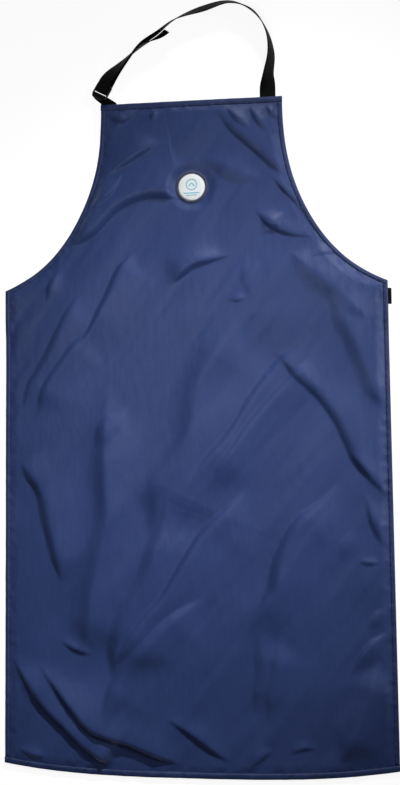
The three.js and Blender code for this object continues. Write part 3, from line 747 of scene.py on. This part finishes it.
# One stitch in shares of its length, width and height: two pointed ends and three ribs between them.
STITCH_POINTS = [
    (-0.5, 0, -0.2), (-0.36, 0.42, 0), (-0.36, 0, 0.85), (-0.36, -0.42, 0),
    (0, 0.5, 0), (0, 0, 1), (0, -0.5, 0),
    (0.36, 0.42, 0), (0.36, 0, 0.85), (0.36, -0.42, 0), (0.5, 0, -0.2),
]
STITCH_FACES = [
    (0, 2, 1), (0, 3, 2), (1, 2, 5, 4), (2, 3, 6, 5), (4, 5, 8, 7), (5, 6, 9, 8), (7, 8, 10), (8, 9, 10),
    (0, 1, 4, 7, 10), (0, 10, 9, 6, 3),
]


def stitch_mesh(name, stitches, material, length=2.6 * MM, width=0.75 * MM, height=0.45 * MM):
    """Many small stitches; each is (place, direction, up)."""
    points, faces = [], []
    for place, direction, up in stitches:
        over = np.cross(up, direction)
        faces += [tuple(len(points) + k for k in face) for face in STITCH_FACES]
        for a, b, c in STITCH_POINTS:
            points.append(place + direction * a * length + over * b * width + up * c * height)
    return add_mesh(name, points, faces, material)


UP = np.array([0.0, 0.0, 1.0])
STITCH_PITCH = 3.6 * MM
STITCH_INSET = 1.3 * MM
STITCH_SINK = 0.1 * MM


def seam_stitches():
    """A row on both faces of every binding, a little in from its inner edge."""
    stitches = []
    for name, (line, band) in EDGES.items():
        points = resample(line, STITCH_PITCH)[1:-1]
        points = points + inward_at(name, points) * (band - STITCH_INSET)
        along = unit(np.gradient(points, axis=0))
        tops = face_height(points[:, 0], points[:, 1]) + GAP + BINDING
        bases = lift(points[:, 0], points[:, 1])
        for place, direction, top, base in zip(points, along, tops, bases):
            flat = np.array([*direction, 0.0])
            stitches.append((np.array([*place, top - STITCH_SINK]), flat, UP))
            stitches.append((np.array([*place, base + STITCH_SINK]), flat, -UP))
    return stitch_mesh("seam_stitches", stitches, SEAM_THREAD)


def box_stitches(name, x, y):
    """A sewn square with a cross, as holds a strap's end."""
    h = 9 * MM
    corners = np.array([(-h, -h), (h, -h), (h, h), (-h, h), (-h, -h), (h, h)])
    runs = [*zip(corners, corners[1:]), (np.array([h, -h]), np.array([-h, h]))]
    stitches = []
    for a, b in runs:
        count = int(np.linalg.norm(b - a) / (3 * MM))
        flat = np.array([*unit(b - a), 0.0])
        for i in range(count):
            place = a + (b - a) * (i + 0.5) / count + [x, y]
            height = height_at(face_height, place) - 0.05 * MM
            stitches.append((np.array([*place, height]), flat, UP))
    return stitch_mesh(name, stitches, BOX_THREAD, 2.4 * MM, 0.7 * MM, 0.4 * MM)


box_inset = 10 * MM
top_stitch_y = BIB_TOP_Y - TOP_BAND - box_inset
waist_stitch_x = WAIST_WIDTH / 2 - SIDE_BAND - box_inset
left_stitch_x = ANCHOR_X + 5.5 * MM
seams = seam_stitches()
boxes = {
    "neck_stitch_right": box_stitches("neck_box_right", NECK_STRAP_X, top_stitch_y),
    "neck_stitch_left": box_stitches("neck_box_left", left_stitch_x, top_stitch_y),
    "waist_stitch_left": box_stitches("waist_box_left", -waist_stitch_x, WAIST_STRAP_Y),
    "waist_stitch_right": box_stitches("waist_box_right", waist_stitch_x, WAIST_STRAP_Y),
}

# ---- Badge and label ----

badge_z = height_at(face_height, (0.0, BADGE_Y)) + 0.1 * MM


def badge_disc():
    """A slightly domed twill disc."""
    rings, spokes = 14, 72
    edge, dome = badge_z + 0.3 * MM, 1.1 * MM
    angles = [2 * math.pi * s / spokes for s in range(spokes)]
    points = [(0, BADGE_Y, edge + dome)]
    for r in range(1, rings + 1):
        share = r / rings
        radius, z = BADGE_RADIUS * share, edge + dome * (1 - share**6)
        points += [(radius * math.cos(a), BADGE_Y + radius * math.sin(a), z) for a in angles]
    faces = [(0, 1 + s, 1 + (s + 1) % spokes) for s in range(spokes)]
    faces += grid_faces(rings, spokes, start=1, flip=True, wrap=True)
    last = 1 + (rings - 1) * spokes
    faces.append(tuple(range(last + spokes - 1, last - 1, -1)))
    return add_mesh("badge_cloth", points, faces, BADGE_TWILL)


def thread_ring(name, radius, thread, z, material, turns, depth):
    """An overlocked edge: a ring of thread whose thickness swells by depth at each wrap."""
    spokes, sides = turns * 4, 10
    points = []
    for a in 2 * np.pi * np.arange(spokes) / spokes:
        thick = thread * (1 + depth * math.sin(turns * a))
        for b in 2 * np.pi * np.arange(sides) / sides:
            out = radius + thick * math.cos(b)
            height = z + 0.6 * thick * math.sin(b)
            points.append((out * math.cos(a), BADGE_Y + out * math.sin(a), height))
    return add_mesh(name, points, loop_faces(spokes, sides, flip=True), material)


def embroidered_bar(start, end, width, z):
    """Rings of one padded satin-stitch bar, whose ridge ripples from thread to thread."""
    a, b = np.array(start), np.array(end)
    along = unit(b - a)
    over = np.array([-along[1], along[0]])
    threads = max(4, int(np.linalg.norm(b - a) / (0.8 * MM)))
    rings = []
    for i in range(threads + 1):
        share = i / threads
        half = width / 2 * math.sqrt(max(0.08, 1 - (2 * share - 1) ** 8))
        ridge = 0.35 * MM * (1 + 0.25 * (i % 2))
        arch = [(-1, 0), (-0.6, ridge), (0, 1.25 * ridge), (0.6, ridge), (1, 0), (0, -0.3 * MM)]
        place = a + (b - a) * share
        rings.append([(*(place + over * half * u), z + h) for u, h in arch])
    return np.array(rings)


def badge_device():
    """A plain generic device: a ring with a chevron in it, and two bars under it."""
    centre = BADGE_Y + 4 * MM
    radius, spans = 8.5 * MM, 28

    def on_ring(step):
        angle = 2 * math.pi * step / spans
        return radius * math.cos(angle), centre + radius * math.sin(angle)

    bars = [(on_ring(i), on_ring(i + 1.15), 1.8 * MM) for i in range(spans)]
    tip = (0, centre + 3 * MM)
    bars.append(((-4.5 * MM, centre - 2.5 * MM), tip, 2.2 * MM))
    bars.append((tip, (4.5 * MM, centre - 2.5 * MM), 2.2 * MM))
    for half, drop, width in ((13 * MM, 9.5 * MM, 1.8 * MM), (9 * MM, 13 * MM, 1.2 * MM)):
        bars.append(((-half, BADGE_Y - drop), (half, BADGE_Y - drop), width))
    points, faces = [], []
    for start, end, width in bars:
        rings = embroidered_bar(start, end, width, badge_z + 1.35 * MM)
        faces += tube_faces(*rings.shape[:2], start=len(points))
        points += list(rings.reshape(-1, 3))
    return add_mesh("badge_device", points, faces, BADGE_CYAN)


def care_label():
    """A small blank label that ripples a little."""
    low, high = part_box("care_label")
    rows, columns = 13, 9
    points = []
    for height in (0.55 * MM, 0.3 * MM):
        for r in range(rows):
            for c in range(columns):
                x = mix(low.x, high.x, c / (columns - 1))
                y = mix(low.y, high.y, r / (rows - 1))
                ripple = 0.15 * MM * math.sin(3.1 * c / columns + 1.7 * r / rows)
                points.append((x, y, height + ripple))
    return add_mesh("care_label_cloth", points, sheet_faces(rows, columns), LABEL_SATIN)


badge = badge_disc()
badge_rim = thread_ring(
    "badge_thread_rim", 23.7 * MM, 1.7 * MM, badge_z + 0.9 * MM, BADGE_RIM, turns=110, depth=0.12
)
badge_outline = thread_ring(
    "badge_outer_stitch", 25.9 * MM, 0.45 * MM, badge_z + 0.35 * MM, SEAM_THREAD, turns=60, depth=0.4
)
device = badge_device()
label = care_label()

# ---- Webbing ----

HALF = WEBBING_WIDTH / 2
THICK = WEBBING / 2
LAYER = WEBBING + GAP
# Half of the webbing's section, (across, off the middle), with eased edges; the rest is its mirror image.
WEBBING_SECTION = [(-HALF, 0), (-HALF + 0.4 * MM, -0.8 * THICK), (-HALF + 1.4 * MM, -THICK)]
WEBBING_SECTION += [(HALF * k / 4, -THICK) for k in (-2, 0, 2)]
WEBBING_SECTION += [(HALF - 1.4 * MM, -THICK), (HALF - 0.4 * MM, -0.8 * THICK), (HALF, 0)]
WEBBING_SECTION += [(u, -w) for u, w in WEBBING_SECTION[-2:0:-1]]


def strap_mesh(name, places, acrosses):
    """Webbing whose middle line runs through places, with its width along acrosses, and its length."""
    places, acrosses = np.asarray(places, float), unit(np.asarray(acrosses, float))
    normals = unit(np.cross(np.gradient(places, axis=0), acrosses))
    gone = distances(places)
    rings, uv = [], []
    for place, across, normal, distance in zip(places, acrosses, normals, gone):
        rings.append([place + across * u + normal * w for u, w in WEBBING_SECTION])
        uv += [(distance, u + HALF) for u, _ in WEBBING_SECTION]
    return swept_mesh(name, rings, STRAP, uv), gone[-1]


def turn_round(centre, start, towards, radius):
    """Points of a half turn round a bar, from centre + start to centre - start, without its two ends."""
    steps = 8
    angles = np.pi * np.arange(1, steps) / steps
    return [centre + radius * (start * math.cos(a) + towards * math.sin(a)) for a in angles]


# The neck strap's middle line: x, y above the bib, z, all in millimetres, and its lean in degrees.
NECK_COURSE = [
    (123, 1.9, 1.8, 0),
    (123, 12, 2.4, 6),
    (125, 34, 10, 50),
    (130, 70, 12, 68),
    (123, 106, 12.6, 80),
    (102, 138, 12.8, 80),
    (66, 155, 11.8, 61),
    (22, 147, 10.8, 48),
    (-24, 131, 13, 68),
    (-52, 111, 13.6, 79),
    (-80, 93, 13.6, 79),
    (-104, 70, 13, 58),
    (-130, 43, 11.4, 27),
    (-143, 22, 10.4, 22),
]
SEWN_DEPTHS = [depth * MM for depth in (34, 26, 18, 10, 4)]
# Shares of the course at which the tail ends, and between which its two legs part to reach the bar.
TAIL_SHARE = 0.655
LEGS_TOGETHER = 0.87
LEGS_APART = 0.955
TAIL_END_LEAN = 50.0
BUCKLE_LEG = 3.8 * MM
ANCHOR_LEG = 3.5 * MM
ANCHOR_DIP = 6 * MM
BAR_SPACING = 10 * MM
EAST = np.array([1.0, 0.0, 0.0])


def across_of(along, lean):
    """The direction across webbing that leans by this many degrees, its inner edge raised."""
    inward = unit(np.cross(np.broadcast_to(UP, along.shape), along))
    angle = np.radians(lean)[:, None]
    across = inward * np.cos(angle) + UP * np.sin(angle)
    return unit(across - along * (across * along).sum(axis=1, keepdims=True))


drawn = through(NECK_COURSE, 12)
course, lean = drawn[:, :3] * MM + [0, BIB_TOP_Y, 0], drawn[:, 3]
share = np.linspace(0, 1, len(course))
travel = unit(np.gradient(course, axis=0))
across = across_of(travel, lean)
facing = unit(np.cross(travel, across))
near_buckle = smooth((share - LEGS_TOGETHER) / (LEGS_APART - LEGS_TOGETHER))[:, None]
slider_at, slider_along, slider_across, slider_normal = course[-1], travel[-1], across[-1], facing[-1]


def neck_strap():
    """Sewn end, loop, round the buckle's middle bar, and the free tail back along the inner face."""
    sewn = [(NECK_STRAP_X, NECK_FOLD_Y - depth, NECK_FOLD_Z) for depth in SEWN_DEPTHS]
    main = course + facing * BUCKLE_LEG * near_buckle
    turn = turn_round(slider_at, slider_normal, slider_along, BUCKLE_LEG)
    keep = share >= TAIL_SHARE
    opening = smooth(((1 - share[keep]) / (1 - TAIL_SHARE) - 0.6) / 0.4)
    tail_across = across_of(travel[keep], mix(lean[keep], TAIL_END_LEAN, opening))
    offset = mix(LAYER, BUCKLE_LEG, near_buckle[keep])
    tail = course[keep] - across[keep] * HALF + tail_across * HALF - facing[keep] * offset
    places = [*sewn, *main, *turn, *tail[::-1]]
    acrosses = [*[-EAST] * len(sewn), *across, *[slider_across] * len(turn), *tail_across[::-1]]
    return strap_mesh("neck_strap_webbing", places, acrosses)


def anchor_loop():
    """A doubled end of webbing from the bib's left corner round the buckle's rear bar."""
    bar = slider_at + slider_along * BAR_SPACING
    foot = np.array([ANCHOR_X, NECK_FOLD_Y, NECK_FOLD_Z])
    below = bar - slider_normal * ANCHOR_DIP
    t = np.linspace(0, 1, 15)[:, None]
    line = (1 - t) ** 2 * foot + 2 * t * (1 - t) * below + t**2 * bar
    line_across = unit(mix(EAST, slider_across, smooth(t)))
    direction = np.gradient(line, axis=0)
    direction = unit(direction - line_across * (direction * line_across).sum(axis=1, keepdims=True))
    normal = np.cross(direction, line_across)
    gap = mix(LAYER / 2, ANCHOR_LEG, smooth(t))
    turn = turn_round(bar, normal[-1], direction[-1], ANCHOR_LEG)
    start = [(ANCHOR_X, NECK_FOLD_Y - depth, NECK_FOLD_Z - LAYER / 2) for depth in SEWN_DEPTHS]
    close = [(ANCHOR_X, NECK_FOLD_Y - depth, NECK_FOLD_Z + LAYER / 2) for depth in SEWN_DEPTHS[::-1]]
    places = [*start, *(line + normal * gap), *turn, *(line - normal * gap)[::-1], *close]
    flat = [EAST] * len(SEWN_DEPTHS)
    acrosses = [*flat, *line_across, *[slider_across] * len(turn), *line_across[::-1], *flat]
    return strap_mesh("neck_anchor_webbing", places, acrosses)


LOOP_RADIUS = 3.2 * MM
BAR_Z = THICK + LOOP_RADIUS
FOLD_PIECE = 14 * MM


def waist_strap(word, fold, run, tail):
    """The folded end at the panel's edge and the strap beyond it, each with its length."""
    inward = 1 if fold < 0 else -1
    low, high = THICK, THICK + LAYER

    def at(depth, z):
        return fold + inward * depth, WAIST_STRAP_Y, z

    def webbing(name, places):
        return strap_mesh(f"{name}_{word}", places, [(0.0, 1.0, 0.0)] * len(places))

    sewn = [at(depth * MM, high) for depth in (30, 22, 14, 6)]
    bend = []
    for a in np.linspace(0, np.pi, 9):
        bend.append(at(-LAYER / 2 * math.sin(a), mix(high, low, (1 - math.cos(a)) / 2)))
    folded = webbing("waist_fold", [*sewn, *bend, at(5 * MM, low), at(FOLD_PIECE, low)])
    out = [at(depth, low) for depth in np.linspace(FOLD_PIECE, run, 24)]
    turn = turn_round(np.array(at(run, BAR_Z)), -UP, inward * EAST, LOOP_RADIUS)
    back = []
    for depth in np.linspace(0, tail, 20):
        back.append(at(run - depth, mix(BAR_Z + LOOP_RADIUS, high, smooth(depth / (22 * MM)))))
    return *folded, *webbing("waist_webbing", [*out, *turn, *back])


neck, neck_length = neck_strap()
anchor, anchor_length = anchor_loop()
left_strap = waist_strap("left", LEFT_FOLD_X, 360 * MM, 150 * MM)
right_strap = waist_strap("right", RIGHT_FOLD_X, 135 * MM, 36 * MM)
fold_left, fold_left_length, waist_left, left_length = left_strap
fold_right, fold_right_length, waist_right, right_length = right_strap

# ---- Neck buckle ----


def middle_bar(reach, radius, sides):
    """Rings of the slider's middle bar, from -reach to reach across it, narrowed at both ends."""
    over = np.cross(slider_normal, slider_across)
    angles = 2 * np.pi * np.arange(sides) / sides
    rings = []
    for place, size in ((-1, 0.7), (-0.92, 1), (0, 1), (0.92, 1), (1, 0.7)):
        middle = slider_at + slider_across * reach * place
        ring = [over * math.cos(a) + slider_normal * math.sin(a) for a in angles]
        rings.append([middle + radius * size * spoke for spoke in ring])
    return rings


def slider_outline(end, rail, corner):
    """Places (along, across) on a rounded rectangle, each with its outward angle."""
    outline = []
    for x, y, first in ((end, rail, 0), (-end, rail, 90), (-end, -rail, 180), (end, -rail, 270)):
        middle_x, middle_y = x - math.copysign(corner, x), y - math.copysign(corner, y)
        for degrees in range(first, first + 91, 15):
            a = math.radians(degrees)
            outline.append((middle_x + corner * math.cos(a), middle_y + corner * math.sin(a), a))
    return outline


def tri_glide():
    """The slider: a rounded frame of nearly square section, and its middle bar."""
    sides, half, thickness = 12, 1.5 * MM, 1.3 * MM
    rail = HALF + 2.3 * MM
    outline = slider_outline(BAR_SPACING, rail, corner=2.5 * MM)
    points = []
    for x, y, a in outline:
        out = slider_along * math.cos(a) + slider_across * math.sin(a)
        place = slider_at + slider_along * x + slider_across * y
        for b in 2 * np.pi * np.arange(sides) / sides:
            square = 1 / max(abs(math.cos(b)), abs(math.sin(b))) ** 0.35
            sideways, up = half * square * math.cos(b), thickness * square * math.sin(b)
            points.append(place + out * sideways + slider_normal * up)
    faces = loop_faces(len(outline), sides)
    bar = np.array(middle_bar(rail, 1.3 * MM, sides))
    faces += tube_faces(len(bar), sides, start=len(points))
    points += list(bar.reshape(-1, 3))
    return add_mesh("neck_slider_moulding", points, faces, PLASTIC)


glide = tri_glide()

for node in ("waist_plug", "waist_plug_arm_back", "waist_plug_arm_front", "waist_socket"):
    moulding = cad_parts[node]
    moulding.data.materials.clear()
    moulding.data.materials.append(PLASTIC)
    bevel = moulding.modifiers.new("eased_edges", "BEVEL")
    bevel.width = 0.25 * MM
    bevel.segments = 2
    bevel.limit_method = "ANGLE"
    bevel.angle_limit = math.radians(40)

# ---- What moves with what, and what stands for what ----

on_shell = [*bindings, seams, *boxes.values(), badge, badge_rim, badge_outline, device]
for piece in (shell, core, lining, *on_shell, label):
    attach(piece, "apron")
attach(glide, "neck_slider")
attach(waist_left, "waist_left")
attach(waist_right, "waist_right")
for piece in (neck, anchor):
    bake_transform(piece)
for piece, body, fold in ((fold_left, "waist_left", LEFT_FOLD_X), (fold_right, "waist_right", RIGHT_FOLD_X)):
    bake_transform(piece)

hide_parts("front_shell")
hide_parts("interlining")
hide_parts("back_lining")
for piece, node in zip(bindings, EDGES):
    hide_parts(node)
for node, piece in boxes.items():
    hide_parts(node)
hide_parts("badge_disc")
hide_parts("badge_rim")
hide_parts("care_label")
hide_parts("neck_strap", "neck_strap_sewn_end")
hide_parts("neck_anchor_loop", "neck_anchor_sewn_end")
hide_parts("neck_buckle")
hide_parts("waist_strap_left")
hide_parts("waist_strap_right")
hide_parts("waist_strap_sewn_end_left")
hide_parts("waist_strap_sewn_end_right")

# ---- Table, light and camera ----


def table_top():
    """A table that reaches past every view."""
    size, z = 40.0, -0.3 * MM
    points = [(x * size, y * size, z) for x, y in ((-1, -1), (1, -1), (1, 1), (-1, 1))]
    table = add_mesh("table_top", points, [(0, 1, 2, 3)], white_table("white_table"))


def add_light(name, kind, place, target, power):
    """A light that points from place to target, not seen by the camera itself."""
    data = bpy.data.lights.new(name, kind)
    data.energy = power
    light = bpy.data.objects.new(name, data)
    light.location = place
    light.rotation_euler = (Vector(target) - Vector(place)).to_track_quat("-Z", "Y").to_euler()
    light.visible_camera = False
    bpy.context.scene.collection.objects.link(light)
    return data


def raking_spot(name, place, target, cone, power):
    """A low lamp far off, whose beam of this many degrees fades out towards its edge."""
    data = add_light(name, "SPOT", place, target, power)
    data.spot_size = math.radians(cone)
    data.spot_blend = 1.0
    data.shadow_soft_size = 0.12


def camera():
    """It looks down at the apron from a little to its right, as tilted as the panel's outline shows."""
    data = bpy.data.cameras.new("camera")
    data.lens = 50
    data.sensor_width = 36
    made = bpy.data.objects.new("camera", data)
    made.location = (0.2162, -0.1033, 1.7096)
    made.rotation_euler = Euler([math.radians(a) for a in (2.853, 6.946, -0.676)])
    bpy.context.scene.collection.objects.link(made)
    bpy.context.scene.camera = made


def plain_world(ambient, backdrop):
    """A white world that lights with one strength and shows itself to the camera with another."""
    world = bpy.data.worlds.new("studio")
    world.use_nodes = True
    nodes, links = world.node_tree.nodes, world.node_tree.links
    seen = nodes.new("ShaderNodeLightPath").outputs["Is Camera Ray"]
    strength = nodes.new("ShaderNodeMapRange")
    strength.inputs["To Min"].default_value = ambient
    strength.inputs["To Max"].default_value = backdrop
    links.new(seen, strength.inputs["Value"])
    links.new(strength.outputs["Result"], nodes["Background"].inputs["Strength"])
    nodes["Background"].inputs["Color"].default_value = (1, 1, 1, 1)
    bpy.context.scene.world = world


def light_the_scene():
    """A soft lamp overhead, and two raking spots from the neck's side and the right that show the folds."""
    plain_world(ambient=0.07, backdrop=0.95)
    key = add_light("key", "AREA", (-0.09, 0.13, 0.85), (-0.09, 0.13, 0), 2.3)
    key.size = 0.25
    raking_spot("rake_from_neck", (1.0, 4.15, 2.3), (0.03, -0.24, 0), cone=12, power=960)
    raking_spot("rake_from_right", (4.15, 1.0, 2.3), (-0.06, -0.02, 0), cone=15, power=600)
    bpy.context.scene.view_settings.view_transform = "Standard"


table_top()
light_the_scene()
camera()
